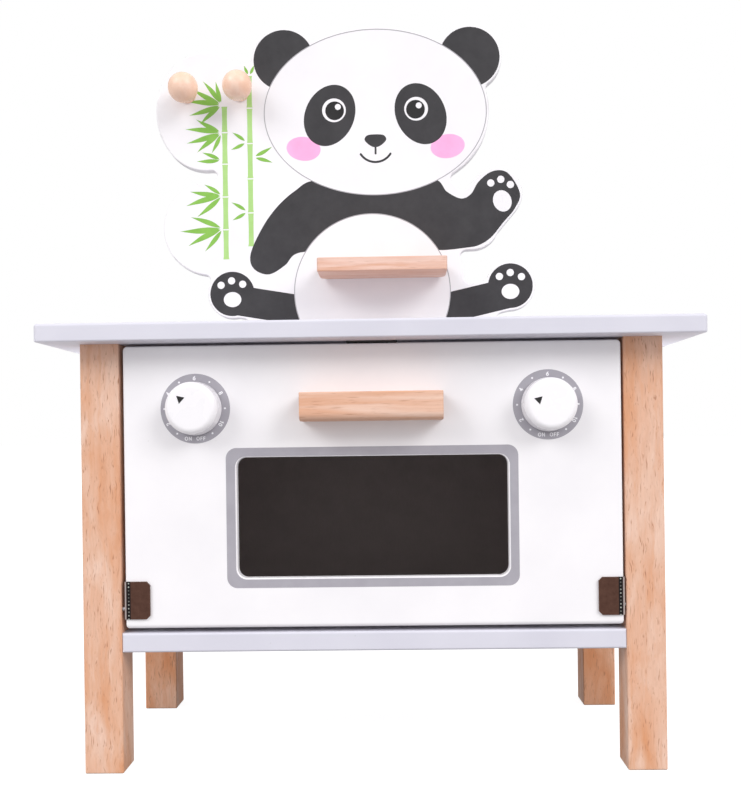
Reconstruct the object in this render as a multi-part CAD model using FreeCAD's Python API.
import FreeCAD, Part
import math
import os

os.makedirs("parts", exist_ok=True)

V = FreeCAD.Vector

# ---------------------------------------------------------------------------
# Driving dimensions, millimetres.  Bench frame: x to the right as seen from
# the front (0 on the centre line), y backwards from the front faces of the
# front legs, z up from the floor.  Everything is shifted by -Y_ORIGIN on the
# way out, so that the origin is the bottom centre of the whole object.
# ---------------------------------------------------------------------------
TOP_W = 402.4            # worktop width
TOP_D = 200.0            # worktop depth
TOP_T = 11.1             # worktop board
BOARD_T = 12.0           # oven floor and door board
TOP_FRONT = -19.5        # worktop front edge, ahead of the legs
TOP_EDGE_R = 1.8         # rounding of the worktop's upper edges
TOP_UNDER_R = 1.0        # rounding of its lower edges
TOP_CORNER_R = 3.0       # plan radius of the worktop corners
LEG = 24.0               # square leg section
LEG_OUT = 179.25         # outer faces of the legs
LEG_H = 265.6            # leg length = underside of the worktop
LEG_EDGE_R = 0.9
REAR_LEG_Y = 144.0       # front faces of the rear legs
FLOOR_Z0 = 74.7          # underside of the oven floor
SIDE_T = 9.0             # side panels
BACK_T = 3.0             # hardboard back panel

DOOR_X0, DOOR_X1 = -152.6, 153.7     # the door hangs a little to the right
DOOR_Z0 = 89.5
DOOR_Z1 = 263.85
DOOR_CORNER_R = 2.6
DOOR_EDGE_R = 1.2
DOOR_TOE_R = 2.6         # rounding of the lower front edge
DOOR_TAIL_R = 3.0        # larger rounding of the lower rear edge, for the swing
WIN_X0, WIN_X1 = -82.9, 84.2
WIN_Z0, WIN_Z1 = 120.2, 194.5
WIN_R = 6.0
WIN_BACK_R = 6.5            # round on the window's inner edges

PIVOT_Y = 3.0            # door pivot axis, behind the door's front face
PIVOT_Z = 101.5
PIVOT_R = 1.5            # pivot screw shank
PIVOT_FIT = 0.05         # radial running clearance of the pivots

HANDLE_X0, HANDLE_X1 = -41.75, 44.1
HANDLE_Z0, HANDLE_Z1 = 216.0, 233.3
HANDLE_D = 22.0

KNOB_LEFT = (-107.9, 225.0)     # knob axes, x and z
KNOB_RIGHT = (108.95, 224.65)
KNOB_R = 15.9            # at the front
KNOB_BASE_R = 16.5       # at the door
KNOB_T = 15.0
KNOB_GAP = 0.5
SPIGOT_R = 5.0
SPIGOT_FIT = 0.06

PLATE_T = 1.2            # bracket sheet
PLATE_W = 16.0           # width of the bracket plate on the door's face
PLATE_PROUD = 0.6        # how far the flange stands out of the door's edge
PLATE_Z0, PLATE_Z1 = 95.5, 118.7
PLATE_CHAMFER = 2.2
PLATE_REAR = 11.0        # how far the flange reaches back along the door's edge

CATCH_X = 1.2            # centre of the magnetic catch
CATCH_L = 31.0

BB_T = 9.0               # backboard
SHELF_X0, SHELF_X1 = -42.7, 55.6
SHELF_Z0, SHELF_Z1 = 331.5, 341.8
SHELF_D = 38.0
SHELF_RF, SHELF_RR = 2.0, 7.0      # plan radii of the shelf's front and rear corners
PEGS = ((-146.8, 479.7), (-104.6, 480.5))
PEG_BALL_R = 11.5
PEG_REACH = 16.0         # ball centre in front of the backboard

HOLE = 0.05              # holes are this much larger in radius than what is in them

# derived
TOP_Z0 = LEG_H
TOP_Z1 = LEG_H + TOP_T
TOP_REAR = TOP_FRONT + TOP_D
LEG_IN = LEG_OUT - LEG
FLOOR_Z1 = FLOOR_Z0 + BOARD_T
REAR_LEG_BACK = REAR_LEG_Y + LEG
BB_Y0 = TOP_REAR - BB_T
BB_Y1 = TOP_REAR
Y_ORIGIN = (-HANDLE_D + TOP_REAR) / 2.0


# ---------------------------------------------------------------------------
# Small geometry helpers
# ---------------------------------------------------------------------------
def box(x0, x1, y0, y1, z0, z1):
    return Part.makeBox(x1 - x0, y1 - y0, z1 - z0, V(x0, y0, z0))


def cyl(p, d, r, length):
    return Part.makeCylinder(r, length, V(*p), V(*d))


def rrect_wire(x0, x1, z0, z1, r, y):
    """Rounded rectangle in the plane y = constant."""
    k = r * math.sqrt(0.5)
    e = []

    def ln(a, b):
        e.append(Part.makeLine(V(a[0], y, a[1]), V(b[0], y, b[1])))

    def arc(a, m, b):
        e.append(Part.Arc(V(a[0], y, a[1]), V(m[0], y, m[1]), V(b[0], y, b[1])).toShape())

    ln((x0 + r, z0), (x1 - r, z0))
    arc((x1 - r, z0), (x1 - r + k, z0 + r - k), (x1, z0 + r))
    ln((x1, z0 + r), (x1, z1 - r))
    arc((x1, z1 - r), (x1 - r + k, z1 - r + k), (x1 - r, z1))
    ln((x1 - r, z1), (x0 + r, z1))
    arc((x0 + r, z1), (x0 + r - k, z1 - r + k), (x0, z1 - r))
    ln((x0, z1 - r), (x0, z0 + r))
    arc((x0, z0 + r), (x0 + r - k, z0 + r - k), (x0 + r, z0))
    return Part.Wire(e)


def rrect_prism(x0, x1, z0, z1, r, y0, y1):
    return Part.Face(rrect_wire(x0, x1, z0, z1, r, y0)).extrude(V(0, y1 - y0, 0))


def edges_on(shape, test):
    out = []
    for e in shape.Edges:
        b = e.BoundBox
        if test(b):
            out.append(e)
    return out


def fillet_where(shape, r, test):
    es = edges_on(shape, test)
    return shape.makeFillet(r, es)


def at_y(y, tol=1e-4):
    return lambda b: abs(b.YMin - y) < tol and abs(b.YMax - y) < tol


def at_z(z, tol=1e-4):
    return lambda b: abs(b.ZMin - z) < tol and abs(b.ZMax - z) < tol


def at_x(x, tol=1e-4):
    return lambda b: abs(b.XMin - x) < tol and abs(b.XMax - x) < tol


def revolve(points):
    """Solid of revolution about Z from (radius, z) points that close on the axis."""
    pts = [V(r, 0, z) for r, z in points]
    w = Part.makePolygon(pts + [pts[0]])
    return Part.Face(w).revolve(V(0, 0, 0), V(0, 0, 1), 360)


def aim(shape, p, d):
    """Turns a shape made along +Z to run along d, from point p."""
    s = shape.copy()
    s.Placement = FreeCAD.Placement(V(*p), FreeCAD.Rotation(V(0, 0, 1), V(*d)))
    return s


def csk_screw(p, d, r, rh, length, cross=True):
    """Countersunk screw.  p is the middle of the flat head, d points inwards."""
    hh = rh - r
    tip = 1.8 * r
    pts = [(0, 0), (rh, 0), (rh, 0.25), (r, hh + 0.25), (r, length - tip), (0.25 * r, length), (0, length)]
    s = revolve(pts)
    if cross:
        w, l, dep = 0.32 * rh, 1.15 * rh, 0.75 * hh
        s = s.cut(Part.makeBox(l, w, dep, V(-l / 2, -w / 2, -0.01)))
        s = s.cut(Part.makeBox(w, l, dep, V(-w / 2, -l / 2, -0.01)))
    return aim(s, p, d)


def csk_hole(p, d, r, rh, length):
    g = HOLE
    hh = rh - r
    pts = [(0, -2), (rh + g, -2), (rh + g, 0.25 + g), (r + g, hh + 0.25 + g), (r + g, length + 0.4), (0, length + 0.4)]
    return aim(revolve(pts), p, d)


def pan_screw(p, d, r, rh, hh, length):
    """Pan-head screw.  p is the middle of the seat under the head, d points inwards."""
    tip = 1.8 * r
    prof = [(0, -hh)]
    n = 5
    for i in range(n + 1):
        a = math.radians(90.0 * i / n)
        prof.append((rh * (0.55 + 0.45 * math.sin(a)), -hh + 0.7 * hh * (1 - math.cos(a))))
    prof += [(rh, 0), (r, 0), (r, length - tip), (0.25 * r, length), (0, length)]
    s = revolve(prof)
    w, l, dep = 0.3 * rh, 1.1 * rh, 0.5 * hh
    s = s.cut(Part.makeBox(l, w, dep, V(-l / 2, -w / 2, -hh - 0.01)))
    s = s.cut(Part.makeBox(w, l, dep, V(-w / 2, -l / 2, -hh - 0.01)))
    return aim(s, p, d)


def pan_hole(p, d, r, length):
    return aim(Part.makeCylinder(r + HOLE, length + 0.4 + 0.5, V(0, 0, -0.5)), p, d)


def dowel(p, d, r, length):
    c = 0.8
    return aim(revolve([(0, 0), (r - c, 0), (r, c), (r, length - c), (r - c, length), (0, length)]), p, d)


def dowel_hole(p, d, r, length):
    return aim(Part.makeCylinder(r + HOLE, length + 0.6, V(0, 0, -0.3)), p, d)


def cut_all(shape, tools):
    for t in tools:
        shape = shape.cut(t)
    return shape


NODES = {}


def put(name, shape):
    NODES[name] = shape


def group(solids):
    return Part.makeCompound(solids)


# ---------------------------------------------------------------------------
# Fastener positions, kept together because both sides of a joint use them
# ---------------------------------------------------------------------------
SIDES = (("left", -1.0), ("right", 1.0))

# legs to worktop: one glued dowel in the top of each leg
LEG_POS = {}
for sname, s in SIDES:
    LEG_POS["leg_front_" + sname] = (s * (LEG_IN + LEG / 2), LEG / 2)
    LEG_POS["leg_rear_" + sname] = (s * (LEG_IN + LEG / 2), REAR_LEG_Y + LEG / 2)
TOP_DOWEL_R, TOP_DOWEL_L, TOP_DOWEL_UP = 4.0, 28.0, 8.0
top_dowels = [((x, y, LEG_H - (TOP_DOWEL_L - TOP_DOWEL_UP)), (0, 0, 1)) for x, y in LEG_POS.values()]

# side panels to legs: two dowels in each edge
PANEL_DOWEL_R, PANEL_DOWEL_L = 3.0, 30.0
PANEL_X = LEG_IN + SIDE_T / 2
panel_dowels = []
for sname, s in SIDES:
    for y in (LEG, REAR_LEG_Y):
        for z in (128.0, 232.0):
            panel_dowels.append(((s * PANEL_X, y - PANEL_DOWEL_L / 2, z), (0, 1, 0)))

# oven floor to legs: connecting screws from the outer leg faces
FLOOR_SCREW = (2.5, 4.6, 50.0)
floor_screws = []
for sname, s in SIDES:
    for y in (LEG / 2, REAR_LEG_Y + LEG / 2):
        floor_screws.append(((s * LEG_OUT, y, FLOOR_Z0 + BOARD_T / 2), (-s, 0, 0)))

# worktop cleats, inside the top corners of the oven
CLEAT = 13.0
CLEAT_Y0, CLEAT_Y1 = 34.0, 134.0
CLEAT_SCREW = (1.6, 3.3, 20.0)
cleat_up, cleat_side = [], []
for sname, s in SIDES:
    for y in (50.0, 118.0):
        cleat_up.append(((s * (LEG_IN - CLEAT / 2), y, LEG_H - CLEAT), (0, 0, 1)))
    for y in (68.0, 100.0):
        cleat_side.append(((s * (LEG_IN - CLEAT), y, LEG_H - CLEAT / 2), (s, 0, 0)))

# back panel: small pan-head screws into the rear legs and the oven floor
BACK_SCREW = (1.3, 2.8, 1.6, 14.0)
back_screws = []
for s in (-1.0, 1.0):
    for z in (98.0, 170.0, 246.0):
        back_screws.append(((s * (LEG_IN + 6.0), REAR_LEG_BACK + BACK_T, z), (0, -1, 0)))
for x in (-75.0, 75.0):
    back_screws.append(((x, REAR_LEG_BACK + BACK_T, FLOOR_Z0 + BOARD_T / 2), (0, -1, 0)))

# backboard: screws and dowels up through the rear of the worktop
BB_YM = (BB_Y0 + BB_Y1) / 2
BB_SCREW = (1.75, 3.6, 34.0)
bb_screws = [((x, BB_YM, TOP_Z0), (0, 0, 1)) for x in (-92.0, -2.0, 86.0)]
BB_DOWEL = (3.0, 26.0)
bb_dowels = [((x, BB_YM, TOP_Z1 - 8.0), (0, 0, 1)) for x in (-48.0, 44.0)]

# tray shelf and pegs: screws from behind the backboard
SHELF_ZM = (SHELF_Z0 + SHELF_Z1) / 2
SHELF_SCREW = (1.75, 3.6, 32.0)
shelf_screws = [((x, BB_Y1, SHELF_ZM), (0, -1, 0)) for x in (SHELF_X0 + 20.0, SHELF_X1 - 20.0)]
PEG_SCREW = (1.75, 3.6, 24.0)
peg_screws = [((x, BB_Y1, z), (0, -1, 0)) for x, z in PEGS]

# magnetic catch under the front of the worktop
CATCH_Y0, CATCH_Y1 = 0.8, 11.2
CATCH_Z0, CATCH_Z1 = TOP_Z0 - 1.1, TOP_Z0 + 5.5
CATCH_SCREW = (1.1, 2.1, 9.5)
catch_screws = [((CATCH_X + s * (CATCH_L / 2 - 3.4), (CATCH_Y0 + CATCH_Y1) / 2, CATCH_Z0), (0, 0, 1)) for s in (-1, 1)]

# door stops on the inner faces of the front legs
STOP_Y0, STOP_Y1 = BOARD_T + 0.35, LEG - 1.0
STOP_T = 10.0
STOP_Z0 = PIVOT_Z + (BOARD_T - PIVOT_Y) + 0.12
STOP_Z1 = STOP_Z0 + 18.0
STOP_SCREW = (1.5, 3.0, 24.0)
stop_screws = [((s * (LEG_IN - STOP_T), (STOP_Y0 + STOP_Y1) / 2, (STOP_Z0 + STOP_Z1) / 2), (s, 0, 0)) for s in (-1.0, 1.0)]

# door hardware
PIVOT_HEAD_R, PIVOT_SINK = 2.1, 0.9     # small head, let in below the leg's outer face
PIVOT_SCREW_L = LEG_OUT - PIVOT_SINK - 142.0
pivot_screws = [((s * (LEG_OUT - PIVOT_SINK), PIVOT_Y, PIVOT_Z), (-s, 0, 0)) for s in (-1.0, 1.0)]
HANDLE_SCREW = (2.0, 4.0, 2.2, 28.0)
handle_screws = [((x, BOARD_T, (HANDLE_Z0 + HANDLE_Z1) / 2), (0, -1, 0)) for x in (HANDLE_X0 + 18.0, HANDLE_X1 - 18.0)]
BRACKET_SCREW = (1.1, 2.15, 13.0)
DOOR_EDGE = {-1.0: DOOR_X0, 1.0: DOOR_X1}
bracket_screws = []
for s in (-1.0, 1.0):
    for y, z in ((7.6, 98.1), (6.2, 113.6)):
        bracket_screws.append(((DOOR_EDGE[s] + s * PLATE_PROUD, y, z), (-s, 0, 0)))
STRIKE_SCREW = (1.1, 2.1, 12.0)
strike_screws = [((CATCH_X + s * 8.5, 6.0, DOOR_Z1), (0, 0, -1)) for s in (-1, 1)]
KNOB_SCREW = (2.0, 4.2, 2.4, 20.0)
WASHER_R, WASHER_T = 9.0, 1.2
SPIGOT_END = BOARD_T + 0.4
knob_pos = {"left": KNOB_LEFT, "right": KNOB_RIGHT}


# ---------------------------------------------------------------------------
# Worktop
# ---------------------------------------------------------------------------
def worktop():
    k = TOP_CORNER_R
    x0, x1, y0, y1 = -TOP_W / 2, TOP_W / 2, TOP_FRONT, TOP_REAR
    s = box(x0, x1, y0, y1, TOP_Z0, TOP_Z1)
    s = fillet_where(s, k, lambda b: b.ZMax - b.ZMin > TOP_T - 0.1 and b.XMax - b.XMin < 1e-4 and b.YMax - b.YMin < 1e-4)
    s = fillet_where(s, TOP_EDGE_R, at_z(TOP_Z1))
    s = fillet_where(s, TOP_UNDER_R, at_z(TOP_Z0))
    tools = [dowel_hole(p, d, TOP_DOWEL_R, TOP_DOWEL_L) for p, d in top_dowels]
    tools += [csk_hole(p, d, *CLEAT_SCREW) for p, d in cleat_up]
    tools += [csk_hole(p, d, *BB_SCREW) for p, d in bb_screws]
    tools += [dowel_hole(p, d, *BB_DOWEL) for p, d in bb_dowels]
    tools += [box(CATCH_X - CATCH_L / 2 - 0.1, CATCH_X + CATCH_L / 2 + 0.1, CATCH_Y0 - 0.1, CATCH_Y1 + 0.1, TOP_Z0 - 1, CATCH_Z1 + 0.05)]
    tools += [csk_hole(p, d, *CATCH_SCREW) for p, d in catch_screws]
    return cut_all(s, tools)


put("worktop", worktop())


# ---------------------------------------------------------------------------
# Legs
# ---------------------------------------------------------------------------
def leg(name):
    x, y = LEG_POS[name]
    h = LEG / 2
    s = box(x - h, x + h, y - h, y + h, 0, LEG_H)
    s = fillet_where(s, LEG_EDGE_R, lambda b: b.ZMax - b.ZMin > LEG_H - 0.1)
    s = fillet_where(s, 0.9, at_z(0))
    side = -1.0 if x < 0 else 1.0
    tools = []
    for p, d in top_dowels:
        if abs(p[0] - x) < 1 and abs(p[1] - y) < 1:
            tools.append(dowel_hole(p, d, TOP_DOWEL_R, TOP_DOWEL_L))
    for p, d in panel_dowels:
        if p[0] * x > 0 and abs(p[1] + PANEL_DOWEL_L / 2 - y) < LEG:
            tools.append(dowel_hole(p, d, PANEL_DOWEL_R, PANEL_DOWEL_L))
    for p, d in floor_screws:
        if p[0] * x > 0 and abs(p[1] - y) < 1:
            tools.append(csk_hole(p, d, *FLOOR_SCREW))
    if "front" in name:
        for p, d in pivot_screws:
            if p[0] * x > 0:
                tools.append(csk_hole(p, d, PIVOT_R, PIVOT_HEAD_R, PIVOT_SCREW_L))
        for p, d in stop_screws:
            if p[0] * x > 0:
                tools.append(csk_hole(p, d, *STOP_SCREW))
    else:
        for p, d in back_screws:
            if p[0] * x > 0 and abs(p[0] - x) < LEG / 2:
                tools.append(pan_hole(p, d, BACK_SCREW[0], BACK_SCREW[3]))
    return cut_all(s, tools)


for n in LEG_POS:
    put(n, leg(n))


# ---------------------------------------------------------------------------
# Oven floor, side panels, back panel, cleats, stops
# ---------------------------------------------------------------------------
def oven_floor():
    s = box(-LEG_IN, LEG_IN, 0, REAR_LEG_BACK, FLOOR_Z0, FLOOR_Z1)
    s = fillet_where(s, 1.4, lambda b: abs(b.YMin) < 1e-4 and abs(b.YMax) < 1e-4)     # front edges, with the two upright ones at its ends
    tools = [csk_hole(p, d, *FLOOR_SCREW) for p, d in floor_screws]
    tools += [pan_hole(p, d, BACK_SCREW[0], BACK_SCREW[3]) for p, d in back_screws if abs(p[0]) < 100]
    return cut_all(s, tools)


put("oven_floor", oven_floor())

for sname, s in SIDES:
    x0, x1 = sorted((s * LEG_IN, s * (LEG_IN + SIDE_T)))
    b = box(x0, x1, LEG, REAR_LEG_Y, FLOOR_Z0, LEG_H)
    tools = [dowel_hole(p, d, PANEL_DOWEL_R, PANEL_DOWEL_L) for p, d in panel_dowels if p[0] * s > 0]
    tools += [csk_hole(p, d, *CLEAT_SCREW) for p, d in cleat_side if p[0] * s > 0]
    put("side_panel_" + sname, cut_all(b, tools))

    x0, x1 = sorted((s * LEG_IN, s * (LEG_IN - CLEAT)))
    b = box(x0, x1, CLEAT_Y0, CLEAT_Y1, LEG_H - CLEAT, LEG_H)
    b = fillet_where(b, 1.5, lambda q, s=s: q.YMax - q.YMin > 90 and abs(abs((q.XMin + q.XMax) / 2) - (LEG_IN - CLEAT)) < 0.1 and q.ZMax < LEG_H - 1)
    tools = [csk_hole(p, d, *CLEAT_SCREW) for p, d in cleat_up + cleat_side if p[0] * s > 0]
    put("worktop_cleat_" + sname, cut_all(b, tools))

    x0, x1 = sorted((s * LEG_IN, s * (LEG_IN - STOP_T)))
    b = box(x0, x1, STOP_Y0, STOP_Y1, STOP_Z0, STOP_Z1)
    b = fillet_where(b, 0.8, lambda q: abs(abs((q.XMin + q.XMax) / 2) - (LEG_IN - STOP_T)) < 0.01 and q.XMax - q.XMin < 0.01)
    tools = [csk_hole(p, d, *STOP_SCREW) for p, d in stop_screws if p[0] * s > 0]
    put("door_stop_" + sname, cut_all(b, tools))

b = rrect_prism(-LEG_OUT + 6, LEG_OUT - 6, FLOOR_Z0 + 0.8, LEG_H - 0.8, 2.0, REAR_LEG_BACK, REAR_LEG_BACK + BACK_T)
put("back_panel", cut_all(b, [pan_hole(p, d, BACK_SCREW[0], BACK_SCREW[3]) for p, d in back_screws]))

put("leg_dowels", group([dowel(p, d, TOP_DOWEL_R, TOP_DOWEL_L) for p, d in top_dowels]))
put("side_panel_dowels", group([dowel(p, d, PANEL_DOWEL_R, PANEL_DOWEL_L) for p, d in panel_dowels]))


def hex_screw(p, d, r, rh, length):
    s = csk_screw((0, 0, 0), (0, 0, 1), r, rh, length, cross=False)
    w = Part.makePolygon([V(2.3 * math.cos(math.radians(60 * i)), 2.3 * math.sin(math.radians(60 * i)), -0.01) for i in range(7)])
    s = s.cut(Part.Face(w).extrude(V(0, 0, 2.2)))
    return aim(s, p, d)


put("floor_screws", group([hex_screw(p, d, *FLOOR_SCREW) for p, d in floor_screws]))
put("cleat_screws", group([csk_screw(p, d, *CLEAT_SCREW) for p, d in cleat_up + cleat_side]))
put("back_panel_screws", group([pan_screw(p, d, *BACK_SCREW) for p, d in back_screws]))
put("stop_screws", group([csk_screw(p, d, *STOP_SCREW) for p, d in stop_screws]))
put("pivot_screws", group([csk_screw(p, d, PIVOT_R, PIVOT_HEAD_R, PIVOT_SCREW_L) for p, d in pivot_screws]))


# ---------------------------------------------------------------------------
# Backboard: one flat board sawn to a sitting bear's outline beside two leafy
# masses.  The outline is a union of ovals, discs and rounded bars.
# ---------------------------------------------------------------------------
def oval_face(cx, cz, a, b, r1, y):
    """Four-arc oval, half width a, half height b, r1 = end-arc radius."""
    if a >= b:
        r2 = ((a - r1) ** 2 + b * b - r1 * r1) / (2 * (b - r1))
        e, t = (a - r1, 0.0), (0.0, b - r2)
        ux, uz = e[0] - t[0], e[1] - t[1]
        n = math.hypot(ux, uz)
        px, pz = e[0] + r1 * ux / n, e[1] + r1 * uz / n
        top, side = b, a
    else:
        r2 = ((b - r1) ** 2 + a * a - r1 * r1) / (2 * (a - r1))
        e, t = (0.0, b - r1), (a - r2, 0.0)
        ux, uz = e[0] - t[0], e[1] - t[1]
        n = math.hypot(ux, uz)
        px, pz = e[0] + r1 * ux / n, e[1] + r1 * uz / n
        top, side = b, a

    def P(x, z):
        return V(cx + x, y, cz + z)

    edges = [
        Part.Arc(P(px, pz), P(0, top), P(-px, pz)).toShape(),
        Part.Arc(P(-px, pz), P(-side, 0), P(-px, -pz)).toShape(),
        Part.Arc(P(-px, -pz), P(0, -top), P(px, -pz)).toShape(),
        Part.Arc(P(px, -pz), P(side, 0), P(px, pz)).toShape(),
    ]
    return Part.Face(Part.Wire(edges))


def disc_face(cx, cz, r, y):
    c = Part.Circle(V(cx, y, cz), V(0, -1, 0), r)
    return Part.Face(Part.Wire([c.toShape()]))


def bar_face(x0, z0, x1, z1, r, y):
    """Rounded bar of half width r between two points."""
    dx, dz = x1 - x0, z1 - z0
    n = math.hypot(dx, dz)
    ux, uz = dx / n, dz / n
    nx, nz = -uz, ux

    def P(x, z):
        return V(x, y, z)

    e = [
        Part.makeLine(P(x0 + nx * r, z0 + nz * r), P(x1 + nx * r, z1 + nz * r)),
        Part.Arc(P(x1 + nx * r, z1 + nz * r), P(x1 + ux * r, z1 + uz * r), P(x1 - nx * r, z1 - nz * r)).toShape(),
        Part.makeLine(P(x1 - nx * r, z1 - nz * r), P(x0 - nx * r, z0 - nz * r)),
        Part.Arc(P(x0 - nx * r, z0 - nz * r), P(x0 - ux * r, z0 - uz * r), P(x0 + nx * r, z0 + nz * r)).toShape(),
    ]
    return Part.Face(Part.Wire(e))


BB_INNER_R = 5.0         # cutter radius left in the inner corners of the outline
BB_EDGE_R = 1.0          # sanded edge rounding

OVALS = (
    (2.0, 463.0, 90.0, 67.5, 56.0),        # head
    (-2.0, 322.0, 73.0, 88.0, 66.0),       # trunk
    (-132.0, 466.0, 40.0, 47.0, 36.0),     # upper leafy mass
)
DISCS = (
    (-70.0, 505.5, 25.5), (77.0, 505.0, 25.5),         # ears
    (-57.0, 369.0, 29.5),                              # lowered arm's shoulder
    (-130.0, 373.0, 37.0),                             # lower leafy mass
    (-113.0, 321.0, 19.5), (107.0, 324.0, 19.5),       # feet
)
BARS = (
    (-45.0, 387.0, 45.0, 387.0, 26.0),                 # shoulders
    (30.0, 373.0, 78.0, 374.5, 21.5),                  # raised arm, upper
    (78.0, 374.5, 97.0, 397.0, 20.5),                  # raised arm, lower
    (-113.0, 317.0, -50.0, 306.0, 14.0),               # shins
    (107.0, 319.0, 50.0, 306.0, 14.0),
    (-99.0, 335.0, -99.0, 478.0, 25.0),                # strip that joins the leafy masses
    (-72.0, 335.0, -72.0, 436.0, 20.0),                # web between the strip and the bear
)


def backboard():
    y = BB_Y0
    faces = [oval_face(cx, cz, a, b_, r1, y) for cx, cz, a, b_, r1 in OVALS]
    faces += [disc_face(cx, cz, r, y) for cx, cz, r in DISCS]
    faces += [bar_face(x0, z0, x1, z1, r, y) for x0, z0, x1, z1, r in BARS]
    solids = [f.extrude(V(0, BB_T, 0)) for f in faces]
    solids.append(box(-100.0, 96.0, y, y + BB_T, TOP_Z1 - 12.0, 310.0))       # foot of the board
    s = solids[0].fuse(solids[1:]).removeSplitter()
    s = s.cut(box(-300, 300, y - 5, y + BB_T + 5, TOP_Z1 - 300, TOP_Z1))
    s = s.Solids[0] if len(s.Solids) == 1 else max(s.Solids, key=lambda q: q.Volume)

    # inner corners, where two outlines meet: round them to the cutter radius
    ym = y + BB_T / 2

    def upright(e):
        b = e.BoundBox
        return b.YMax - b.YMin > BB_T - 0.01 and b.XMax - b.XMin < 1e-3 and b.ZMax - b.ZMin < 1e-3

    spots = []
    for e in s.Edges:
        if not upright(e):
            continue
        cx, cz = e.BoundBox.Center.x, e.BoundBox.Center.z
        n = 72
        inside = 0
        for i in range(n):
            a = 2 * math.pi * (i + 0.5) / n
            if s.isInside(V(cx + 0.4 * math.cos(a), ym, cz + 0.4 * math.sin(a)), 1e-6, False):
                inside += 1
        if inside / n > 0.55:
            spots.append((cx, cz))
    for cx, cz in spots:
        done = 0.0
        for r in (BB_INNER_R, 4.0, 3.0, 2.2, 1.5):
            es = [e for e in s.Edges if upright(e) and abs(e.BoundBox.Center.x - cx) < 0.01 and abs(e.BoundBox.Center.z - cz) < 0.01]
            try:
                t = s.makeFillet(r, es)
            except Exception:
                continue
            if es and t.isValid() and len(t.Solids) == 1:
                s = t.Solids[0]
                done = r
                break
        print("backboard inner corner (%.1f, %.1f) radius %.1f" % (cx, cz, done))
    for r in (BB_EDGE_R, 0.8, 0.5):
        try:
            es = [e for e in s.Edges if (at_y(y)(e.BoundBox) or at_y(y + BB_T)(e.BoundBox)) and e.BoundBox.ZMax > TOP_Z1 + 0.01]
            t = s.makeFillet(r, es)
            if t.isValid() and len(t.Solids) == 1:
                s = t.Solids[0]
                print("backboard edge rounding", r)
                break
        except Exception:
            continue
    tools = [csk_hole(p, d, *BB_SCREW) for p, d in bb_screws]
    tools += [dowel_hole(p, d, *BB_DOWEL) for p, d in bb_dowels]
    tools += [csk_hole(p, d, *SHELF_SCREW) for p, d in shelf_screws]
    tools += [csk_hole(p, d, *PEG_SCREW) for p, d in peg_screws]
    return cut_all(s, tools)


put("backboard", backboard())
put("backboard_screws", group([csk_screw(p, d, *BB_SCREW) for p, d in bb_screws]))
put("backboard_dowels", group([dowel(p, d, *BB_DOWEL) for p, d in bb_dowels]))

s = box(SHELF_X0, SHELF_X1, BB_Y0 - SHELF_D, BB_Y0, SHELF_Z0, SHELF_Z1)
upright = lambda b: b.ZMax - b.ZMin > SHELF_Z1 - SHELF_Z0 - 0.1
s = fillet_where(s, SHELF_RR, lambda b: upright(b) and at_y(BB_Y0)(b))
s = fillet_where(s, SHELF_RF, lambda b: upright(b) and at_y(BB_Y0 - SHELF_D)(b))
s = fillet_where(s, 0.6, lambda b: (at_z(SHELF_Z0)(b) or at_z(SHELF_Z1)(b)) and b.YMin < BB_Y0 - 1e-3)
put("tray_shelf", cut_all(s, [csk_hole(p, d, *SHELF_SCREW) for p, d in shelf_screws]))
put("shelf_screws", group([csk_screw(p, d, *SHELF_SCREW) for p, d in shelf_screws]))


def peg(x, z):
    """Turned peg: ball, waisted neck and a flat foot against the board."""
    foot_r, neck_r = 7.0, 5.0
    # profile along the axis, from the board outwards (h = distance from the board)
    h_neck = 4.2
    a = math.asin(neck_r / PEG_BALL_R)
    h_join = PEG_REACH - PEG_BALL_R * math.cos(a)
    tip = PEG_REACH + PEG_BALL_R
    e = [
        Part.makeLine(V(0, 0, 0), V(foot_r, 0, 0)),
        Part.makeLine(V(foot_r, 0, 0), V(foot_r, 0, 1.2)),
        Part.Arc(V(foot_r, 0, 1.2), V(neck_r + 0.55, 0, 1.9), V(neck_r, 0, h_join)).toShape(),
        Part.Arc(V(neck_r, 0, h_join), V(PEG_BALL_R * math.cos(0.15), 0, PEG_REACH + PEG_BALL_R * math.sin(0.15)), V(0, 0, tip)).toShape(),
        Part.makeLine(V(0, 0, tip), V(0, 0, 0)),
    ]
    s = Part.Face(Part.Wire(e)).revolve(V(0, 0, 0), V(0, 0, 1), 360)
    s = aim(s, (x, BB_Y0, z), (0, -1, 0))
    return cut_all(s, [csk_hole(p, d, *PEG_SCREW) for p, d in peg_screws])


put("peg_left", peg(*PEGS[0]))
put("peg_right", peg(*PEGS[1]))
put("peg_screws", group([csk_screw(p, d, *PEG_SCREW) for p, d in peg_screws]))


# ---------------------------------------------------------------------------
# Magnetic catch, let into the underside of the worktop above the door's top
# ---------------------------------------------------------------------------
MAG = (18.0, 6.4, 3.6)
s = box(CATCH_X - CATCH_L / 2, CATCH_X + CATCH_L / 2, CATCH_Y0, CATCH_Y1, CATCH_Z0, CATCH_Z1)
s = fillet_where(s, 1.2, lambda b: b.ZMax - b.ZMin > 5.9)
ym = (CATCH_Y0 + CATCH_Y1) / 2
s = s.cut(box(CATCH_X - MAG[0] / 2 - 0.05, CATCH_X + MAG[0] / 2 + 0.05, ym - MAG[1] / 2 - 0.05, ym + MAG[1] / 2 + 0.05, CATCH_Z0 - 1, CATCH_Z0 + MAG[2] + 0.05))
put("catch_housing", cut_all(s, [csk_hole(p, d, *CATCH_SCREW) for p, d in catch_screws]))
put("catch_magnet", box(CATCH_X - MAG[0] / 2, CATCH_X + MAG[0] / 2, ym - MAG[1] / 2, ym + MAG[1] / 2, CATCH_Z0, CATCH_Z0 + MAG[2]))
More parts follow.
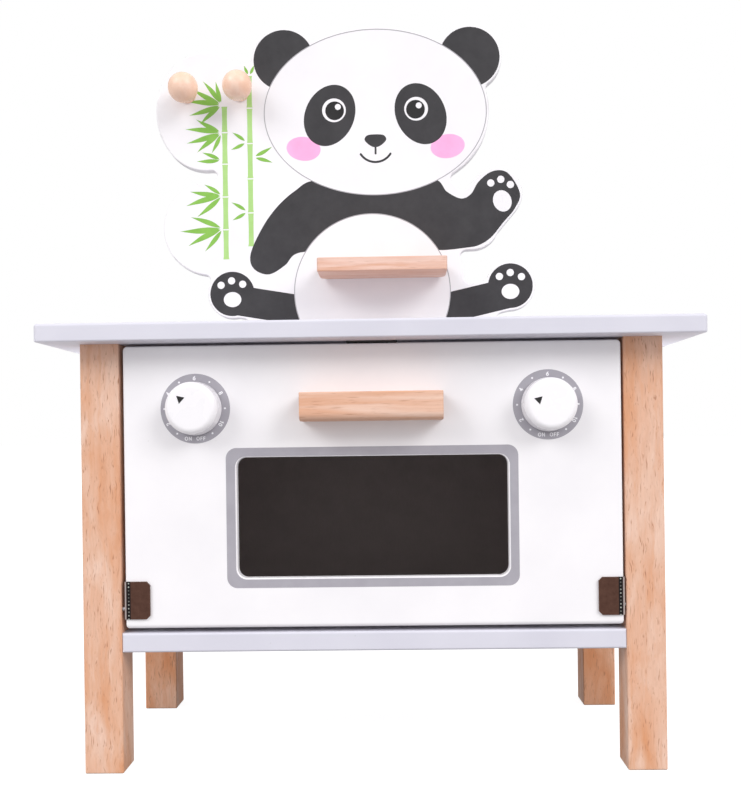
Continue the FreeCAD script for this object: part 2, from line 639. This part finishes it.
put("catch_screws", group([csk_screw(p, d, *CATCH_SCREW) for p, d in catch_screws]))


# ---------------------------------------------------------------------------
# Door
# ---------------------------------------------------------------------------
STRIKE = (26.0, 8.0, 1.0)


def door_panel():
    s = rrect_prism(DOOR_X0, DOOR_X1, DOOR_Z0, DOOR_Z1, DOOR_CORNER_R, 0, BOARD_T)
    s = fillet_where(s, DOOR_EDGE_R, at_y(0))
    s = fillet_where(s, DOOR_EDGE_R, at_y(BOARD_T))
    s = s.cut(rrect_prism(WIN_X0, WIN_X1, WIN_Z0, WIN_Z1, WIN_R, -1, BOARD_T + 1))
    s = fillet_where(s, 0.8, lambda b: at_y(0)(b) and b.XMin > WIN_X0 - 0.1 and b.XMax < WIN_X1 + 0.1 and b.ZMin > WIN_Z0 - 0.1 and b.ZMax < WIN_Z1 + 0.1)
    s = fillet_where(s, WIN_BACK_R, lambda b: at_y(BOARD_T)(b) and b.XMin > WIN_X0 - 0.1 and b.XMax < WIN_X1 + 0.1 and b.ZMin > WIN_Z0 - 0.1 and b.ZMax < WIN_Z1 + 0.1)
    # lower rear edge, rounded so that it clears the oven floor as it swings
    t = DOOR_TAIL_R
    rnd = box(DOOR_X0 - 1, DOOR_X1 + 1, BOARD_T - t, BOARD_T + 1, DOOR_Z0 - 1, DOOR_Z0 + t)
    rnd = rnd.cut(cyl((DOOR_X0 - 2, BOARD_T - t, DOOR_Z0 + t), (1, 0, 0), t, DOOR_X1 - DOOR_X0 + 4))
    s = s.cut(rnd)
    t = DOOR_TOE_R
    rnd = box(DOOR_X0 - 1, DOOR_X1 + 1, -1, t, DOOR_Z0 - 1, DOOR_Z0 + t)
    rnd = rnd.cut(cyl((DOOR_X0 - 2, t, DOOR_Z0 + t), (1, 0, 0), t, DOOR_X1 - DOOR_X0 + 4))
    s = s.cut(rnd)
    tools = [pan_hole(p, d, HANDLE_SCREW[0], HANDLE_SCREW[3]) for p, d in handle_screws]
    for x, z in knob_pos.values():
        tools.append(cyl((x, -1, z), (0, 1, 0), SPIGOT_R + SPIGOT_FIT, BOARD_T + 2))
    for sgn in (-1.0, 1.0):
        tools.append(cyl((DOOR_EDGE[sgn] + sgn, PIVOT_Y, PIVOT_Z), (-sgn, 0, 0), PIVOT_R + PIVOT_FIT, 13.2))
    tools += [csk_hole(p, d, *BRACKET_SCREW) for p, d in bracket_screws]
    for sgn in (-1.0, 1.0):     # pockets for the bracket flanges
        xa, xb = sorted((DOOR_EDGE[sgn] - sgn * (PLATE_T - PLATE_PROUD + HOLE), DOOR_EDGE[sgn] + sgn))
        tools.append(box(xa, xb, -1.0, PLATE_REAR + HOLE, PLATE_Z0 - HOLE, PLATE_Z1 + HOLE))
    tools.append(box(CATCH_X - STRIKE[0] / 2 - 0.05, CATCH_X + STRIKE[0] / 2 + 0.05, 6 - STRIKE[1] / 2 - 0.05, 6 + STRIKE[1] / 2 + 0.05, DOOR_Z1 - STRIKE[2] - 0.05, DOOR_Z1 + 1))
    tools += [csk_hole(p, d, *STRIKE_SCREW) for p, d in strike_screws]
    return cut_all(s, tools)


put("door_panel", door_panel())

s = box(CATCH_X - STRIKE[0] / 2, CATCH_X + STRIKE[0] / 2, 6 - STRIKE[1] / 2, 6 + STRIKE[1] / 2, DOOR_Z1 - STRIKE[2], DOOR_Z1)
s = fillet_where(s, 1.0, lambda b: b.ZMax - b.ZMin > 0.9)
put("strike_plate", cut_all(s, [csk_hole(p, d, *STRIKE_SCREW) for p, d in strike_screws]))
put("strike_screws", group([csk_screw(p, d, *STRIKE_SCREW) for p, d in strike_screws]))


def door_handle():
    """Beech block with a full lower front edge, planed flat on the back."""
    y0, y1 = -HANDLE_D, 0.0
    z0, z1 = HANDLE_Z0, HANDLE_Z1
    ra, rb = 0.8, 5.0           # upper and lower front edges
    k = math.sqrt(0.5)

    def P(y, z):
        return V(HANDLE_X0, y, z)

    e = [
        Part.makeLine(P(y1, z0), P(y1, z1)),
        Part.makeLine(P(y1, z1), P(y0 + ra, z1)),
        Part.Arc(P(y0 + ra, z1), P(y0 + ra - ra * k, z1 - ra + ra * k), P(y0, z1 - ra)).toShape(),
        Part.makeLine(P(y0, z1 - ra), P(y0, z0 + rb)),
        Part.Arc(P(y0, z0 + rb), P(y0 + rb - rb * k, z0 + rb - rb * k), P(y0 + rb, z0)).toShape(),
        Part.makeLine(P(y0 + rb, z0), P(y1, z0)),
    ]
    s = Part.Face(Part.Wire(e)).extrude(V(HANDLE_X1 - HANDLE_X0, 0, 0))
    s = fillet_where(s, 0.45, lambda b: (at_x(HANDLE_X0)(b) or at_x(HANDLE_X1)(b)) and b.YMin < -1e-3)
    return cut_all(s, [pan_hole(p, d, HANDLE_SCREW[0], HANDLE_SCREW[3]) for p, d in handle_screws])


put("door_handle", door_handle())
put("handle_screws", group([pan_screw(p, d, *HANDLE_SCREW) for p, d in handle_screws]))


def pivot_bracket(sgn):
    """Bent sheet bracket: a plate on the door's face and a flange let in half its thickness in the edge, with a pressed groove beside the bend."""
    bx = abs(DOOR_EDGE[sgn]) + PLATE_PROUD
    a = bx - PLATE_W
    c = PLATE_CHAMFER
    w = Part.makePolygon([V(x, -PLATE_T, z) for x, z in ((a + c, PLATE_Z0), (bx, PLATE_Z0), (bx, PLATE_Z1), (a + c, PLATE_Z1), (a, PLATE_Z1 - c), (a, PLATE_Z0 + c), (a + c, PLATE_Z0))])
    plate = Part.Face(w).extrude(V(0, PLATE_T, 0))
    yr = PLATE_REAR
    w = Part.makePolygon([V(bx - PLATE_T, y, z) for y, z in ((-PLATE_T, PLATE_Z0), (yr - 2, PLATE_Z0), (yr, PLATE_Z0 + 2), (yr, PLATE_Z1 - 2), (yr - 2, PLATE_Z1), (-PLATE_T, PLATE_Z1), (-PLATE_T, PLATE_Z0))])
    flange = Part.Face(w).extrude(V(PLATE_T, 0, 0))
    s = plate.fuse(flange).removeSplitter()
    s = fillet_where(s, 1.15, lambda b: b.ZMax - b.ZMin > 20 and abs(b.XMin - bx) < 1e-4 and abs(b.YMin + PLATE_T) < 1e-4 and abs(b.XMax - bx) < 1e-4)
    gr, gd = 2.4, 0.35          # groove: tool radius and depth
    s = s.cut(cyl((bx - 2.6, -PLATE_T - (gr - gd), PLATE_Z0 - 1), (0, 0, 1), gr, PLATE_Z1 - PLATE_Z0 + 2))
    if sgn < 0:
        s = s.mirror(V(0, 0, 0), V(1, 0, 0))
    tools = [cyl((sgn * (bx - PLATE_T - 1), PIVOT_Y, PIVOT_Z), (sgn, 0, 0), PIVOT_R + PIVOT_FIT, 5.0)]
    tools += [csk_hole(p, d, *BRACKET_SCREW) for p, d in bracket_screws if p[0] * sgn > 0]
    return cut_all(s, tools)


put("pivot_bracket_left", pivot_bracket(-1.0))
put("pivot_bracket_right", pivot_bracket(1.0))
put("bracket_screws", group([csk_screw(p, d, *BRACKET_SCREW) for p, d in bracket_screws]))


# ---------------------------------------------------------------------------
# Knobs: turned knob with a spigot through the door, held by a screw and washer
# ---------------------------------------------------------------------------
def knob(x, z):
    # profile in (radius, h), h measured forwards from the door's face
    g, t, r, w = KNOB_GAP, KNOB_GAP + KNOB_T, KNOB_R, KNOB_BASE_R
    rf, rb = 3.6, 0.8
    q = math.sqrt(0.5)
    tail = -SPIGOT_END

    def P(a, h):
        return V(a, 0, h)

    e = [
        Part.makeLine(P(0, tail), P(SPIGOT_R, tail)),
        Part.makeLine(P(SPIGOT_R, tail), P(SPIGOT_R, g)),
        Part.makeLine(P(SPIGOT_R, g), P(w - rb, g)),
        Part.Arc(P(w - rb, g), P(w - rb + rb * q, g + rb - rb * q), P(w, g + rb)).toShape(),
        Part.makeLine(P(w, g + rb), P(r, t - rf)),
        Part.Arc(P(r, t - rf), P(r - rf + rf * q, t - rf + rf * q), P(r - rf, t)).toShape(),
        Part.makeLine(P(r - rf, t), P(0, t)),
        Part.makeLine(P(0, t), P(0, tail)),
    ]
    s = Part.Face(Part.Wire(e)).revolve(V(0, 0, 0), V(0, 0, 1), 360)
    s = aim(s, (x, 0, z), (0, -1, 0))
    return s.cut(cyl((x, SPIGOT_END + 1, z), (0, -1, 0), KNOB_SCREW[0] + HOLE, KNOB_SCREW[3] + 1.0))


for sname, (x, z) in knob_pos.items():
    put("knob_" + sname, knob(x, z))
    w = cyl((x, SPIGOT_END, z), (0, 1, 0), WASHER_R, WASHER_T)
    w = fillet_where(w, 0.3, at_y(SPIGOT_END + WASHER_T))
    w = w.cut(cyl((x, SPIGOT_END - 1, z), (0, 1, 0), KNOB_SCREW[0] + HOLE, WASHER_T + 2))
    put("knob_" + sname + "_washer", w)
    put("knob_" + sname + "_screw", pan_screw((x, SPIGOT_END + WASHER_T, z), (0, -1, 0), *KNOB_SCREW))


# ---------------------------------------------------------------------------
# Shift to the row frame and write one file per piece
# ---------------------------------------------------------------------------
total = None
for name, shape in NODES.items():
    sh = shape.copy()
    sh.translate(V(0, -Y_ORIGIN, 0))
    if sh.ShapeType == "Compound" and len(sh.Solids) == 1:
        sh = sh.Solids[0]
    ok = sh.isValid()
    if not ok or len(sh.Solids) == 0:
        print("CHECK", name, "valid", ok, "solids", len(sh.Solids))
    sh.exportStep("parts/" + name + ".step")
    bb = sh.BoundBox
    total = bb if total is None else total.united(bb)

print("nodes", len(NODES))
print("box x %.2f..%.2f  y %.2f..%.2f  z %.2f..%.2f" % (total.XMin, total.XMax, total.YMin, total.YMax, total.ZMin, total.ZMax))

# balance of the door about its pivots: the centre of mass has to lie behind them
DENS = {"wood": 0.70e-3, "steel": 7.85e-3}
DOOR_SET = ["door_panel", "door_handle", "handle_screws", "pivot_bracket_left", "pivot_bracket_right", "bracket_screws", "strike_plate", "strike_screws",
            "knob_left", "knob_left_washer", "knob_left_screw", "knob_right", "knob_right_washer", "knob_right_screw"]
m = my = mz = 0.0
for n in DOOR_SET:
    d = DENS["steel"] if any(k in n for k in ("screw", "bracket", "plate", "washer")) else DENS["wood"]
    for so in NODES[n].Solids:
        w = so.Volume * d
        m += w
        my += w * so.CenterOfMass.y
        mz += w * so.CenterOfMass.z
print("door mass %.0f g, centre y %.2f z %.2f, behind the pivot by %.2f" % (m, my / m, mz / m, my / m - PIVOT_Y))
